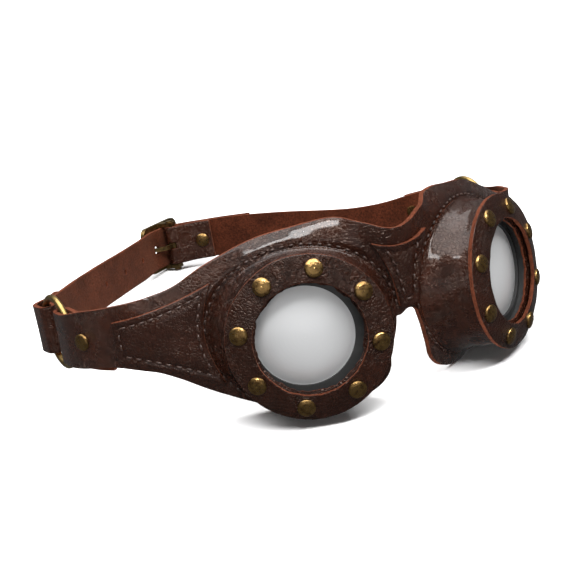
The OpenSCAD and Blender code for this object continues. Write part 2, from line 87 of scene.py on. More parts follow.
def stand(points):
    return np.asarray(points, float) - np.array([0, ORIGIN_Y, ORIGIN_Z])


def from_mask(points):
    """Mask frame to row frame."""
    return stand(np.asarray(points, float) @ rot("X", -MASK_PITCH).T)


def from_eye(side, points):
    """Eye frame, whose +Z runs out of the cup, to row frame."""
    turned = np.asarray(points, float) @ (rot("Z", side * EYE_YAW) @ rot("X", 90)).T
    return stand((turned + [side * EYE_X, 0, 0]) @ rot("X", -EYE_PITCH).T)


def from_strap(points):
    """Strap frame to row frame."""
    turned = (np.asarray(points, float) - [0, RING_Y, 0]) @ rot("X", -STRAP_DROP).T
    return from_mask(turned + [0, RING_Y, TAB_MID])


def plan(s):
    """Plan x, plan y and heading in radians of the mask's outer face at arc lengths s."""
    a, sign = np.abs(s), np.where(np.asarray(s) < 0, -1, 1)
    return (sign * np.interp(a, ARC, PLAN_X), np.interp(a, ARC, PLAN_Y),
            sign * np.interp(a, ARC, HEADING))


def on_mask(s, w, t):
    """Points of the mask in the mask frame: s along the sheet, w up it, t out of it."""
    s, w, t = np.broadcast_arrays(np.asarray(s, float), w, t)
    x, y, h = plan(s)
    return np.stack([x + t * np.sin(h), y - t * np.cos(h), w], -1)


def spline(points, steps):
    """Smooth curve through given points, with equal steps between them."""
    p = np.asarray(points, float)
    out = []
    for i in range(len(p) - 1):
        a, b, c, d = p[max(i - 1, 0)], p[i], p[i + 1], p[min(i + 2, len(p) - 1)]
        for f in np.arange(steps) / steps:
            out.append(0.5 * (2 * b + (c - a) * f + (2 * a - 5 * b + 4 * c - d) * f * f
                              + (3 * b - a - 3 * c + d) * f ** 3))
    return np.array(out + [p[-1]])


def smooth(lo, hi, x):
    """Eased step from 0 at lo to 1 at hi."""
    f = np.clip((np.asarray(x, float) - lo) / (hi - lo), 0, 1)
    return f * f * (3 - 2 * f)


def ripple(points, size, seed=0.0):
    """Smooth noise from -1 to 1 at each point, with features about size across."""
    flat = np.asarray(points, float).reshape(-1, 3) / size
    shift = Vector((seed, 3.1 * seed, 7.7 * seed))
    values = [noise.noise(Vector(p) + shift) for p in flat]
    return np.array(values).reshape(np.shape(points)[:-1])


# Outlines of the mask's halves, [along, up], as in the CAD
TOP_EDGE = spline([[-6, 31.5], [0, 30.5], [6, 31.5], [14, 34.5], [24, 37.2], [36, 37.4],
                   [48, 35.8], [64, 32.6], [78, 26.6], [90, 21.4], [104, 17.8],
                   [120, 16.2], [136, 13.6], [146, 12.2], [160, 12.2]], 8)
BOTTOM_EDGE = spline([[-4.4, -4], [-2.2, -1.8], [0, -1.2], [2.2, -1.8], [4.4, -4], [6, -9],
                      [6.9, -14], [7.4, -20], [9.6, -25.6], [15, -30.4], [23, -33.2],
                      [34, -33.6], [46, -33.4], [58, -31.6], [70, -26.4], [82, -20],
                      [94, -14], [104, -10], [116, -8.2], [132, -8.6], [146, -9.8],
                      [160, -9.8]], 8)

NOTCH_INSET = 3.2


def top(s):
    return np.interp(np.abs(s), TOP_EDGE[:, 0], TOP_EDGE[:, 1])


def bottom(s):
    """Lower edge of the mask; the right side of the nose notch is cut back a little."""
    a = np.abs(s)
    inset = NOTCH_INSET * smooth(3, 8, a) * (1 - smooth(20, 34, a)) * (np.asarray(s) < 0)
    return np.interp(a - inset, BOTTOM_EDGE[:, 0], BOTTOM_EDGE[:, 1])


# Ring, folds and strap ends, as in the CAD
FOLD_GAP = WIRE + 0.7
LOOP_R = (FOLD_GAP + LEATHER_T) / 2
TIP_X, TIP_Y = [float(v) for v in plan(S_TIP)[:2]]
RING_X = TIP_X - LEATHER_T - FOLD_GAP / 2


def fold_reach(width):
    return math.sqrt((RING_INNER / 2) ** 2 - (width / 2) ** 2)


RING_Y = TIP_Y - LEATHER_T + fold_reach(TAB_W) - 0.3
LOOP_X = RING_X - LOOP_R
LOOP_Y = RING_Y + fold_reach(STRAP_W) - LEATHER_T - 0.4 + LEATHER_T / 2 + LOOP_R


# ---------------------------------------------------------------- materials
def material(name):
    """A new material, its nodes, its links and the object's own coordinates."""
    m = bpy.data.materials.new(name)
    m.use_nodes = True
    nodes, links = m.node_tree.nodes, m.node_tree.links
    nodes.clear()
    return m, nodes, links, nodes.new("ShaderNodeTexCoord").outputs["Object"]


def add(nodes, kind, **values):
    """A node with its properties and unlinked inputs set."""
    n = nodes.new(kind)
    for key, value in values.items():
        if hasattr(n, key):
            setattr(n, key, value)
        else:
            n.inputs[key].default_value = value
    return n


def ramp(nodes, links, source, stops):
    """Colours picked by a value: (value, colour) stops."""
    r = nodes.new("ShaderNodeValToRGB")
    while len(r.color_ramp.elements) < len(stops):
        r.color_ramp.elements.new(0.5)
    for element, (at, colour) in zip(r.color_ramp.elements, stops):
        element.position = at
        element.color = (*colour, 1)
    links.new(source, r.inputs[0])
    return r.outputs[0]


def grey(value):
    return (value, value, value)


def blended(nodes, links, kind, a, b, factor):
    """Colour mix of two sockets by a factor that is a socket or a number."""
    m = nodes.new("ShaderNodeMix")
    m.data_type = "RGBA"
    m.blend_type = kind
    if hasattr(factor, "links"):
        links.new(factor, m.inputs[0])
    else:
        m.inputs[0].default_value = factor
    for socket, value in ((m.inputs[6], a), (m.inputs[7], b)):
        if hasattr(value, "links"):
            links.new(value, socket)
        else:
            socket.default_value = (*value, 1)
    return m.outputs[2]


def bumped(nodes, links, chain):
    """Bump nodes one after another: (height socket, strength, distance in metres)."""
    last = None
    for height, strength, distance in chain:
        b = add(nodes, "ShaderNodeBump", Strength=strength, Distance=distance)
        links.new(height, b.inputs["Height"])
        if last:
            links.new(last, b.inputs["Normal"])
        last = b.outputs[0]
    return last


def noise_at(nodes, links, where, scale, detail=4, rough=0.55, distortion=0.0):
    n = add(nodes, "ShaderNodeTexNoise", Scale=scale, Detail=detail, Roughness=rough,
            Distortion=distortion)
    links.new(where, n.inputs["Vector"])
    return n.outputs["Fac"]


def cells_at(nodes, links, where, scale):
    """Distance to the edge of the nearest cell."""
    v = add(nodes, "ShaderNodeTexVoronoi", feature="DISTANCE_TO_EDGE", Scale=scale)
    links.new(where, v.inputs["Vector"])
    return v.outputs["Distance"]


def warped(nodes, links, where, scale, amount):
    """Coordinates pushed about by noise, so that cells and creases aren't regular."""
    n = add(nodes, "ShaderNodeTexNoise", Scale=scale, Detail=3)
    links.new(where, n.inputs["Vector"])
    move = add(nodes, "ShaderNodeVectorMath", operation="MULTIPLY_ADD")
    links.new(n.outputs["Color"], move.inputs[0])
    move.inputs[1].default_value = (amount,) * 3
    links.new(where, move.inputs[2])
    return move.outputs[0]


def close_off(nodes, links, shader):
    out = nodes.new("ShaderNodeOutputMaterial")
    links.new(shader.outputs[0], out.inputs[0])


def leather(name, dark, light, rough=(0.17, 0.36), crease=1.0, pebble=0.7, coat=0.36):
    """Glossy grain side: pebbles just over 1 mm, branching creases and uneven shine."""
    m, nodes, links, where = material(name)
    bent = warped(nodes, links, where, 220, 0.0025)
    shade = noise_at(nodes, links, where, 45, 5, 0.6)
    rubbed = noise_at(nodes, links, bent, 520, 5, 0.6)
    base = ramp(nodes, links, shade, [(0.3, dark), (0.72, light)])
    speck = ramp(nodes, links, rubbed, [(0.35, grey(0.7)), (0.65, grey(1.15))])
    colour = blended(nodes, links, "MULTIPLY", base, speck, 0.8)
    fine = ramp(nodes, links, cells_at(nodes, links, bent, 780),
                [(0.0, grey(0)), (0.22, grey(1))])
    lines = ramp(nodes, links, noise_at(nodes, links, bent, 150, 6, 0.62, 0.6),
                 [(0.455, grey(1)), (0.5, grey(0)), (0.545, grey(1))])
    across = ramp(nodes, links, noise_at(nodes, links, bent, 330, 3, 0.5, 0.3),
                  [(0.44, grey(1)), (0.5, grey(0.2)), (0.56, grey(1))])
    mask = ramp(nodes, links, noise_at(nodes, links, where, 42, 2),
                [(0.46, grey(0)), (0.62, grey(1))])
    creased = blended(nodes, links, "MIX", grey(1),
                      blended(nodes, links, "MULTIPLY", lines, across, 1.0), mask)
    normal = bumped(nodes, links, [(fine, pebble, 0.00025), (creased, crease, 0.0008),
                                   (rubbed, 0.45, 0.0004)])
    shine = ramp(nodes, links, noise_at(nodes, links, where, 130, 6, 0.65),
                 [(0.3, grey(rough[0])), (0.75, grey(rough[1]))])
    shader = add(nodes, "ShaderNodeBsdfPrincipled")
    shader.inputs["Coat Weight"].default_value = coat
    shader.inputs["Coat Roughness"].default_value = 0.1
    shader.inputs["Specular IOR Level"].default_value = 0.26
    shader.inputs["Specular Tint"].default_value = (1.0, 0.78, 0.66, 1.0)
    links.new(colour, shader.inputs["Base Color"])
    links.new(shine, shader.inputs["Roughness"])
    links.new(normal, shader.inputs["Normal"])
    close_off(nodes, links, shader)
    return m


def suede(name, dark, light, fibre=0.9):
    """Flesh side or cut edge: matt, with short fibres."""
    m, nodes, links, where = material(name)
    bent = warped(nodes, links, where, 500, 0.0012)
    patch = noise_at(nodes, links, where, 70, 4)
    fuzz = noise_at(nodes, links, bent, 1100, 5, 0.75)
    base = ramp(nodes, links, patch, [(0.3, dark), (0.7, light)])
    speck = ramp(nodes, links, fuzz, [(0.38, grey(0.3)), (0.6, grey(1.4))])
    shader = add(nodes, "ShaderNodeBsdfPrincipled", Roughness=0.85)
    shader.inputs["Sheen Weight"].default_value = 0.06
    shader.inputs["Sheen Tint"].default_value = (0.9, 0.42, 0.27, 1.0)
    shader.inputs["Specular IOR Level"].default_value = 0.08
    shader.inputs["Specular Tint"].default_value = (1.0, 0.6, 0.45, 1.0)
    links.new(blended(nodes, links, "MULTIPLY", base, speck, 0.8), shader.inputs["Base Color"])
    links.new(bumped(nodes, links, [(fuzz, fibre, 0.0005)]), shader.inputs["Normal"])
    close_off(nodes, links, shader)
    return m


def metal(name, bright, patina, rough=(0.24, 0.5)):
    """Antique brass: a bright base under brown patina in soft patches, with fine dents."""
    m, nodes, links, where = material(name)
    blotch = noise_at(nodes, links, where, 520, 6, 0.7, 0.4)
    mask = ramp(nodes, links, blotch, [(0.46, grey(0)), (0.68, grey(1))])
    colour = blended(nodes, links, "MIX", bright, patina, mask)
    shine = ramp(nodes, links, noise_at(nodes, links, where, 900, 5, 0.65),
                 [(0.3, grey(rough[0])), (0.75, grey(rough[1]))])
    dents = noise_at(nodes, links, where, 700, 3)
    shader = add(nodes, "ShaderNodeBsdfPrincipled", Metallic=1.0)
    links.new(colour, shader.inputs["Base Color"])
    links.new(shine, shader.inputs["Roughness"])
    links.new(bumped(nodes, links, [(dents, 0.35, 0.0003)]), shader.inputs["Normal"])
    close_off(nodes, links, shader)
    return m


def thread_material(name, dark, light):
    """Waxed thread, with the dark and light flecks of its twist."""
    m, nodes, links, where = material(name)
    twist = noise_at(nodes, links, where, 2600, 2)
    base = ramp(nodes, links, twist, [(0.35, dark), (0.65, light)])
    shader = add(nodes, "ShaderNodeBsdfPrincipled", Roughness=0.42)
    links.new(base, shader.inputs["Base Color"])
    links.new(bumped(nodes, links, [(twist, 0.5, 0.0002)]), shader.inputs["Normal"])
    close_off(nodes, links, shader)
    return m


def mirror_material(name):
    """Silver mirror coat on the dome, with the faint haze of a wiped lens."""
    m, nodes, links, where = material(name)
    haze = ramp(nodes, links, noise_at(nodes, links, where, 40, 3),
                [(0.3, grey(0.3)), (0.7, grey(0.36))])
    tint = ramp(nodes, links, noise_at(nodes, links, where, 25, 2),
                [(0.3, (0.40, 0.404, 0.408)), (0.7, (0.425, 0.429, 0.433))])
    shader = add(nodes, "ShaderNodeBsdfPrincipled", Metallic=0.35)
    shader.inputs["Coat Weight"].default_value = 0.5
    shader.inputs["Coat Roughness"].default_value = 0.02
    links.new(tint, shader.inputs["Base Color"])
    links.new(haze, shader.inputs["Roughness"])
    close_off(nodes, links, shader)
    return m


def plastic_material(name):
    """Fine-grained black plastic of the lens carriers and snap rings."""
    m, nodes, links, where = material(name)
    grain = noise_at(nodes, links, where, 1600, 3)
    base = ramp(nodes, links, noise_at(nodes, links, where, 90, 3),
                [(0.3, grey(0.006)), (0.7, grey(0.016))])
    shader = add(nodes, "ShaderNodeBsdfPrincipled", Roughness=0.6)
    links.new(base, shader.inputs["Base Color"])
    links.new(bumped(nodes, links, [(grain, 0.3, 0.0001)]), shader.inputs["Normal"])
    close_off(nodes, links, shader)
    return m


MASK_GRAIN = leather("mask_grain", (0.011, 0.003, 0.0015), (0.027, 0.0075, 0.0036))
TUBE_GRAIN = leather("tube_grain", (0.010, 0.0028, 0.0014), (0.026, 0.007, 0.0034), crease=1.3,
                     coat=0.24)
# Washer leather is painted darker than the mask leather: painted shade for the dim reflections on
# the camera-facing washers
WASHER_GRAIN_PAINTED_SHADE = leather("washer_grain_painted_shade", (0.008, 0.002, 0.0009), (0.018, 0.0045, 0.002),
                       rough=(0.24, 0.42), crease=1.1, coat=0.12)
PATCH_GRAIN = leather("patch_grain", (0.008, 0.002, 0.0009), (0.018, 0.0046, 0.0021),
                      rough=(0.22, 0.4), crease=0.3)
STRAP_GRAIN = leather("strap_grain", (0.011, 0.003, 0.0015), (0.027, 0.0075, 0.0036), crease=0.3)
FLESH = suede("flesh_side", (0.022, 0.0054, 0.0024), (0.052, 0.0130, 0.0058))
CUT_EDGE = suede("cut_edge", (0.055, 0.0145, 0.0072), (0.115, 0.033, 0.0165), fibre=0.6)
BRASS = metal("antique_brass_caps", (0.28, 0.172, 0.064), (0.09, 0.045, 0.018), rough=(0.2, 0.42))
RING_BRASS = metal("antique_brass_wire", (0.33, 0.23, 0.085), (0.10, 0.06, 0.022))
BUCKLE_BRASS = metal("antique_brass_buckle", (0.26, 0.175, 0.07), (0.06, 0.04, 0.02))
THREAD = thread_material("dark_thread", (0.012, 0.005, 0.0032), (0.05, 0.023, 0.015))
MIRROR = mirror_material("mirror_coat")
PLASTIC = plastic_material("black_plastic")


# ---------------------------------------------------------------- mesh building
GRAIN, BACK, EDGE = 0, 1, 2


def face_outward(me):
    """Turns the faces of a closed mesh outward."""
    bm = bmesh.new()
    bm.from_mesh(me)
    bmesh.ops.recalc_face_normals(bm, faces=bm.faces)
    bm.to_mesh(me)
    bm.free()


def make(name, body, points_m, faces, materials, tags=None, stands_for=()):
    """A mesh object in the row frame that rides on a body. tags are the faces' materials."""
    me = bpy.data.meshes.new(name)
    me.from_pydata(np.asarray(points_m).tolist(), [], faces)
    for m in materials:
        me.materials.append(m)
    if tags is not None:
        me.polygons.foreach_set("material_index", tags)
    me.validate()
    o = bpy.data.objects.new(name, me)
    bpy.context.scene.collection.objects.link(o)
    face_outward(me)
    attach(o, body)
    if stands_for:
        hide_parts(*stands_for)
    return o


def apply_modifiers(o):
    """Makes the mesh what its modifiers give, and drops them."""
    bpy.context.view_layer.update()
    done = bpy.data.meshes.new_from_object(o.evaluated_get(
        bpy.context.evaluated_depsgraph_get()))
    o.modifiers.clear()
    old, o.data = o.data, done
    done.name = o.name
    bpy.data.meshes.remove(old)


def finish_edges(o, width=0.3, segments=2, angle=38):
    """Rounds the sharp edges and shades the rest smooth."""
    if width:
        b = o.modifiers.new("rounded", "BEVEL")
        b.width, b.segments, b.limit_method = width * MM, segments, "ANGLE"
        b.angle_limit = math.radians(angle)
        b.harden_normals = False
        apply_modifiers(o)
    o.data.shade_smooth()
    o.data.set_sharp_from_angle(angle=math.radians(angle))
    return o


def cut(o, cutter):
    """Cuts a closed mesh out of o; the cut faces take the cutter's material."""
    b = o.modifiers.new("cut", "BOOLEAN")
    b.operation, b.solver, b.object = "DIFFERENCE", "EXACT", cutter
    b.material_mode = "TRANSFER"
    apply_modifiers(o)
    bpy.data.objects.remove(cutter)


def prism(outline, along, depth):
    """Closed prism: a closed outline of points, extruded along a vector both ways. No body."""
    p, v = np.asarray(outline, float), np.asarray(along, float) * depth
    n = len(p)
    faces = [list(range(n)), list(range(2 * n - 1, n - 1, -1))]
    faces += [[i, i + n, (i + 1) % n + n, (i + 1) % n] for i in range(n)]
    me = bpy.data.meshes.new("cutter")
    me.from_pydata((np.concatenate([p - v, p + v]) * MM).tolist(), [], faces)
    me.materials.append(CUT_EDGE)
    face_outward(me)
    o = bpy.data.objects.new("cutter", me)
    bpy.context.scene.collection.objects.link(o)
    return o


def sheet_faces(rows, cols):
    """Faces and material tags of a closed sheet: an outer grid and an inner grid, stitched."""
    n = rows * cols
    i, j = np.meshgrid(np.arange(rows - 1), np.arange(cols - 1), indexing="ij")
    a = (i * cols + j).ravel()
    front = np.stack([a, a + 1, a + cols + 1, a + cols], 1)
    back = front[:, ::-1] + n
    rim = ([(0, k) for k in range(cols - 1)] + [(k, cols - 1) for k in range(rows - 1)]
           + [(rows - 1, k) for k in range(cols - 1, 0, -1)]
           + [(k, 0) for k in range(rows - 1, 0, -1)])
    rim = [r * cols + c for r, c in rim]
    side = [[rim[k], rim[(k + 1) % len(rim)], rim[(k + 1) % len(rim)] + n, rim[k] + n]
            for k in range(len(rim))]
    faces = front.tolist() + back.tolist() + side
    tags = [GRAIN] * len(front) + [BACK] * len(back) + [EDGE] * len(side)
    return faces, tags


def hoop_faces(around, cols):
    """Faces and material tags of a closed hoop: an outer skin and an inner skin, stitched."""
    faces, tags = [], []
    n = around * cols
    for i in range(around):
        j = (i + 1) % around
        for c in range(cols - 1):
            q = [i * cols + c, j * cols + c, j * cols + c + 1, i * cols + c + 1]
            faces += [q, [k + n for k in q[::-1]]]
            tags += [GRAIN, BACK]
        for c in (0, cols - 1):
            faces.append([i * cols + c, j * cols + c, j * cols + c + n, i * cols + c + n])
            tags.append(EDGE)
    return faces, tags


def closed_sheet(name, body, outer, inner, materials, stands_for=(), round_off=0.3):
    """Leather between two grids of row-frame points in millimetres."""
    faces, tags = sheet_faces(*outer.shape[:2])
    points = np.concatenate([outer.reshape(-1, 3), inner.reshape(-1, 3)]) * MM
    o = make(name, body, points, faces, materials, tags, stands_for)
    return finish_edges(o, round_off) if round_off else o


def resampled(path, step):
    """The same path with points a given step apart."""
    p = np.asarray(path, float)
    run = np.concatenate([[0], np.cumsum(np.linalg.norm(np.diff(p[:, :2], axis=0), axis=1))])
    at = np.linspace(0, run[-1], int(run[-1] / step) + 1)
    return np.stack([np.interp(at, run, p[:, k]) for k in range(p.shape[1])], 1), at


def path_normals(path):
    """Unit normals on the left of a plan path."""
    d = np.gradient(path[:, :2], axis=0)
    d /= np.linalg.norm(d, axis=1)[:, None]
    return np.stack([-d[:, 1], d[:, 0]], 1)


# ---------------------------------------------------------------- mask
NOSE_SHIFT, NOSE_SHIFT_REACH = 2.2, 13
CURL, CURL_REACH = 4.2, 10.5
LIP, LIP_REACH = 1.0, 7
# Depth or height, distance outside a tube's seam, and width
SEAM_GROOVE, SEAM_SWELL = (0.5, 1.7, 0.8), (0.35, 3.6, 1.6)
SEAM_MEAN_R = 33
TUBE_HOLE_INSET = 3
# Temple patch: inner side, its bow, outer side, foot and height of the inner side
PATCH_IN_S, PATCH_IN_BOW, PATCH_OUT_S, PATCH_FOOT, PATCH_TALL = 75.4, 5, 115.6, -17.8, 39.4
PATCH_GROOVE_S, PATCH_GROOVE_DEPTH, PATCH_GROOVE_WIDTH = 72.6, 0.45, 0.7
MASK_COLUMNS, MASK_ROWS = 150, 56
# Arc length at which the outlines give the height of the fold and its tail
FOLD_S = 150.0


def sagged(points):
    """The bridge of the nose sits a little to the wearer's right, as soft leather does."""
    p = np.array(points, float)
    p[..., 0] -= NOSE_SHIFT * np.exp(-(p[..., 0] / NOSE_SHIFT_REACH) ** 2)
    return p


def seam_b(up):
    """Height radius of a tube's seam: less above its middle than below."""
    return np.where(np.asarray(up) > 0, SEAM_TOP, SEAM_B)


def seam_height(s, w):
    """Groove and soft swell of the mask leather round the foot of each tube."""
    total = 0
    groove, groove_at, groove_width = SEAM_GROOVE
    swell, swell_at, swell_width = SEAM_SWELL
    for side in SIDES.values():
        u = (np.asarray(s) - side * S_BASE) / SEAM_A
        v = np.asarray(w) / seam_b(w)
        r = np.sqrt(u * u + v * v)
        far = (r - 1) * SEAM_MEAN_R
        total = (total - groove * np.exp(-((far - groove_at) / groove_width) ** 2)
                 + swell * np.exp(-((far - swell_at) / swell_width) ** 2))
    return total


def patch_groove(s, w):
    """Pressed groove along the inner side of each temple patch."""
    v = (np.asarray(w) - PATCH_FOOT) / PATCH_TALL
    line = PATCH_GROOVE_S + PATCH_IN_BOW * np.sin(math.pi * np.clip(v, 0, 1))
    near = np.exp(-((np.abs(s) - line) / PATCH_GROOVE_WIDTH) ** 2)
    return -PATCH_GROOVE_DEPTH * near * smooth(-0.02, 0.06, v) * (1 - smooth(0.92, 1.0, v))


def mask_surface(s, w, t=0.0):
    """Outer face of the mask in the mask frame, with its creases and grooves."""
    s, w = np.broadcast_arrays(np.asarray(s, float), np.asarray(w, float))
    p = on_mask(s, w, 0)
    calm = 1 - smooth(96, 112, np.abs(s))
    off_nose = smooth(14, 26, np.abs(s))
    curl = np.clip((w - (top(s) - CURL_REACH)) / CURL_REACH, 0, 1) ** 2 * off_nose
    lip = np.clip(((bottom(s) + LIP_REACH) - w) / LIP_REACH, 0, 1) ** 2 * off_nose
    lift = 0.35 * ripple(p, 16, 1.3) * calm + 0.12 * ripple(p, 5, 4.0)
    roll = -(CURL * curl + LIP * lip) * calm
    return sagged(on_mask(s, w, t + lift + roll + seam_height(s, w) + patch_groove(s, w)))


def mask_tail():
    """Plan path of the turned-back end of the left half, from the ring fold on."""
    centre_y = TIP_Y - LEATHER_T / 2 - LOOP_R
    turn = [[RING_X + LOOP_R * math.cos(a), centre_y + LOOP_R * math.sin(a)]
            for a in np.linspace(0, math.pi, 15)]
    inner_x = RING_X - LOOP_R

    def tail_point(s, gap):
        return on_mask(s, 0, -1.5 * LEATHER_T - 0.15 - gap)[:2]

    tail = spline([[inner_x, centre_y], [inner_x, centre_y - 11], tail_point(S_3 + 0.5, 1),
                   tail_point(S_3 - 7, 0), tail_point(S_3 - 14, 0)], 6)
    return np.array(turn + tail[1:].tolist()), centre_y


def build_mask():
    """The mask: one sheet from fold to fold, with both tube openings cut out of it."""
    tail, centre_y = mask_tail()
    tail, _ = resampled(tail, 0.9)
    end = S_TIP - (TIP_Y - centre_y)
    s = np.linspace(0, end - 0.4, MASK_COLUMNS)
    front = np.stack([*plan(s)[:2], s], 1)
    half = np.concatenate([front, np.column_stack([tail, np.full(len(tail), FOLD_S)])])
    v = np.linspace(0, 1, MASK_ROWS)
    columns_out, columns_in = [], []
    fold_n = path_normals(half)
    count = len(half)
    for sign in (-1, 1):
        order = range(count - 1, 0, -1) if sign < 0 else range(count)
        for k in order:
            x, y, at = half[k]
            lo, hi = float(bottom(sign * at)), float(top(at))
            w = lo + (hi - lo) * v
            if k < len(front):
                wave = 0.25 * np.sin(0.23 * sign * at + 1.1)
                w = w + wave * (2 * v - 1) * smooth(10, 30, at)
                columns_out.append(mask_surface(sign * at, w))
                columns_in.append(mask_surface(sign * at, w, -LEATHER_T))
            else:
                # The fold: its grain side is the right-hand side of the left half's path
                nx, ny = fold_n[k]
                out = [x - nx * LEATHER_T / 2, y - ny * LEATHER_T / 2]
                inn = [x + nx * LEATHER_T / 2, y + ny * LEATHER_T / 2]
                for store, q in ((columns_out, out), (columns_in, inn)):
                    store.append(np.stack([np.full(MASK_ROWS, sign * q[0]),
                                           np.full(MASK_ROWS, q[1]), w], 1))
    outer, inner = (from_mask(np.array(c)) for c in (columns_out, columns_in))
    o = closed_sheet("leather_mask", "mask", outer, inner,
                     [MASK_GRAIN, FLESH, CUT_EDGE], ["mask_panel"], round_off=0)
    for side in SIDES.values():
        a = np.radians(np.arange(0, 360, 4))
        u = (SEAM_A - TUBE_HOLE_INSET) * np.cos(a)
        h = (seam_b(np.sin(a)) - TUBE_HOLE_INSET) * np.sin(a)
        turned = np.stack([u, np.zeros_like(u), h], 1) @ rot("Z", side * MASK_YAW).T
        ring = from_mask(turned + [side * BASE_X, BASE_Y, 0])
        out = from_mask([[0, 0, 0], rot("Z", side * MASK_YAW) @ [0, -1, 0]])
        cut(o, prism(ring, out[1] - out[0], 7))
    return finish_edges(o, 0.35)


# ---------------------------------------------------------------- eyecup tubes and washers
WASHER_TOP, WASHER_SLOPE, WASHER_CROWN = 2.7, 0.13, 0.0142
HEM_START_R = 25


def washer_z(r):
    """Height of the crowned washer's grain side at a radius, as in the CAD."""
    return WASHER_TOP - WASHER_SLOPE * (r - OPENING_R) - WASHER_CROWN * (r - OPENING_R) ** 2


def seam_point(side, a, grow, t):
    """Points round a tube's seam, grown outward by grow and raised by t."""
    s = side * (S_BASE + (SEAM_A + grow) * np.cos(a))
    w = (seam_b(np.sin(a)) + grow) * np.sin(a)
    return from_mask(sagged(on_mask(s, w, t)))


def eye_point(side, a, r, z):
    """Points at angle, radius and height in the eye frame; angle 0 is toward the temple."""
    flat = np.stack(np.broadcast_arrays(r * np.cos(a) * side, r * np.sin(a), z), -1)
    return from_eye(side, flat)


def build_tube(name, side):
    """Soft tube: foot turned out under its seam, a pulled-in middle, hem rolled over in front."""
    a = np.radians(np.arange(0, 360, 2))
    front_r = FLANGE_R - 1.5
    front_z = washer_z(front_r) - LEATHER_T - 0.1
    foot = seam_point(side, a, 0.9, 0.15)
    heel = seam_point(side, a, -0.3, 1.1)
    rim = eye_point(side, a, front_r, front_z - 0.9)
    waist = [(1 - f) * seam_point(side, a, -0.9, 0.6)
             + f * eye_point(side, a, front_r - 0.9, front_z)
             for f in (0.25, 0.5, 0.75)]
    hem_z = washer_z(HEM_START_R) - LEATHER_T - 0.1
    knots = [foot, heel, *waist, rim, eye_point(side, a, front_r - 0.8, front_z),
             eye_point(side, a, HEM_START_R, hem_z)]
    outer = np.array([spline(np.array([k[i] for k in knots]), 5) for i in range(len(a))])
    hem_r = OPENING_R - 0.9 + 0.75 * ripple(np.stack([np.cos(a), np.sin(a), 0 * a], 1), 0.12, side)
    for f in (0.5, 1.0):
        r = HEM_START_R + (hem_r - HEM_START_R) * f
        z = hem_z + (0.15 - 0.5 * f * f) * f
        outer = np.concatenate([outer, eye_point(side, a, r, z)[:, None]], 1)
    cols = outer.shape[1]
    wrap = np.roll(outer, -1, 0) - np.roll(outer, 1, 0)
    normals = np.cross(wrap, np.gradient(outer, axis=1))
    normals /= np.linalg.norm(normals, axis=2)[..., None]
    centre = from_eye(side, [[0, 0, -8]])[0]
    if np.mean(np.sum(normals[:, 12] * (outer[:, 12] - centre), 1)) < 0:
        normals = -normals
    share = np.linspace(0, 1, cols)
    band = np.sin(np.clip(share * 1.35, 0, 1) * math.pi)
    crease = 0.55 * ripple(outer * [1, 0.45, 1], 7, 2.0 + side) + 0.2 * ripple(outer, 3.5, 5.0)
    outer = outer + normals * (crease * band)[..., None]
    inner = outer - normals * TUBE_T
    points = np.concatenate([outer.reshape(-1, 3), inner.reshape(-1, 3)]) * MM
    faces, tags = hoop_faces(len(a), cols)
    o = make(f"leather_tube_{name}", "mask", points, faces,
             [TUBE_GRAIN, FLESH, CUT_EDGE], tags, [f"eyecup_tube_{name}"])
    return finish_edges(o, 0.2)


def build_washer(name, side):
    """Thick leather washer: crowned, its rims wavy from hand cutting."""
    a = np.radians(np.arange(0, 360, 2))
    rows = 22
    share = np.linspace(0, 1, rows)
    circle = np.stack([np.cos(a), np.sin(a), 0 * a], 1)
    inner_r = OPENING_R + 0.3 * ripple(circle, 0.22, 3 + side) + 0.15 * ripple(circle, 0.07, 5)
    outer_r = FLANGE_R + 0.25 * ripple(circle, 0.4, 8 + side)
    lip = 0.5 * ripple(circle, 0.5, 11 + side)
    r = inner_r[:, None] + (outer_r - inner_r)[:, None] * share
    z = washer_z(r) + lip[:, None] * smooth(0.62, 1, share) + 0.25 * smooth(0.25, 0, share)
    ang = a[:, None] + 0 * r
    z = z + 0.2 * ripple(np.stack([r * np.cos(ang), r * np.sin(ang), 0 * r], 2), 5, 2 + side)
    upper = eye_point(side, ang, r, z)
    lower = eye_point(side, ang, r - 0.2 * share, z - LEATHER_T)
    points = np.concatenate([upper.reshape(-1, 3), lower.reshape(-1, 3)]) * MM
    faces, tags = hoop_faces(len(a), rows)
    o = make(f"leather_washer_{name}", "mask", points, faces,
             [WASHER_GRAIN_PAINTED_SHADE, FLESH, CUT_EDGE], tags, [f"flange_washer_{name}"])
    return finish_edges(o, 0.3)


# ---------------------------------------------------------------- stitched patches
def nose_outline(u, v):
    """Nose patch on the mask sheet: u from -1 to 1 across it, v from 0 to 1 up it."""
    half = 4.3 + 3 * v + 5.2 * v ** 3
    return u * half, 0.6 + 26 * v - 2.4 * v * (1 - u * u)


def temple_outline(u, v):
    """Temple patch on the mask sheet: u from 0 to 1 toward the tab, v from 0 to 1 up it."""
    in_s = PATCH_IN_S + PATCH_IN_BOW * np.sin(math.pi * v)
    in_w = PATCH_FOOT + PATCH_TALL * v
    out_s, out_w = PATCH_OUT_S, -5.2 + 16 * v
    bow = 4 * u * (1 - u)
    return in_s + (out_s - in_s) * u, in_w + (out_w - in_w) * u + bow * (1.6 - 3 * v)


STITCH_IN, PATCH_RAISE = 2.7, 0.5
STITCH_STEP, THREAD_SIDES, THREAD_RINGS = 0.1, 8, 7


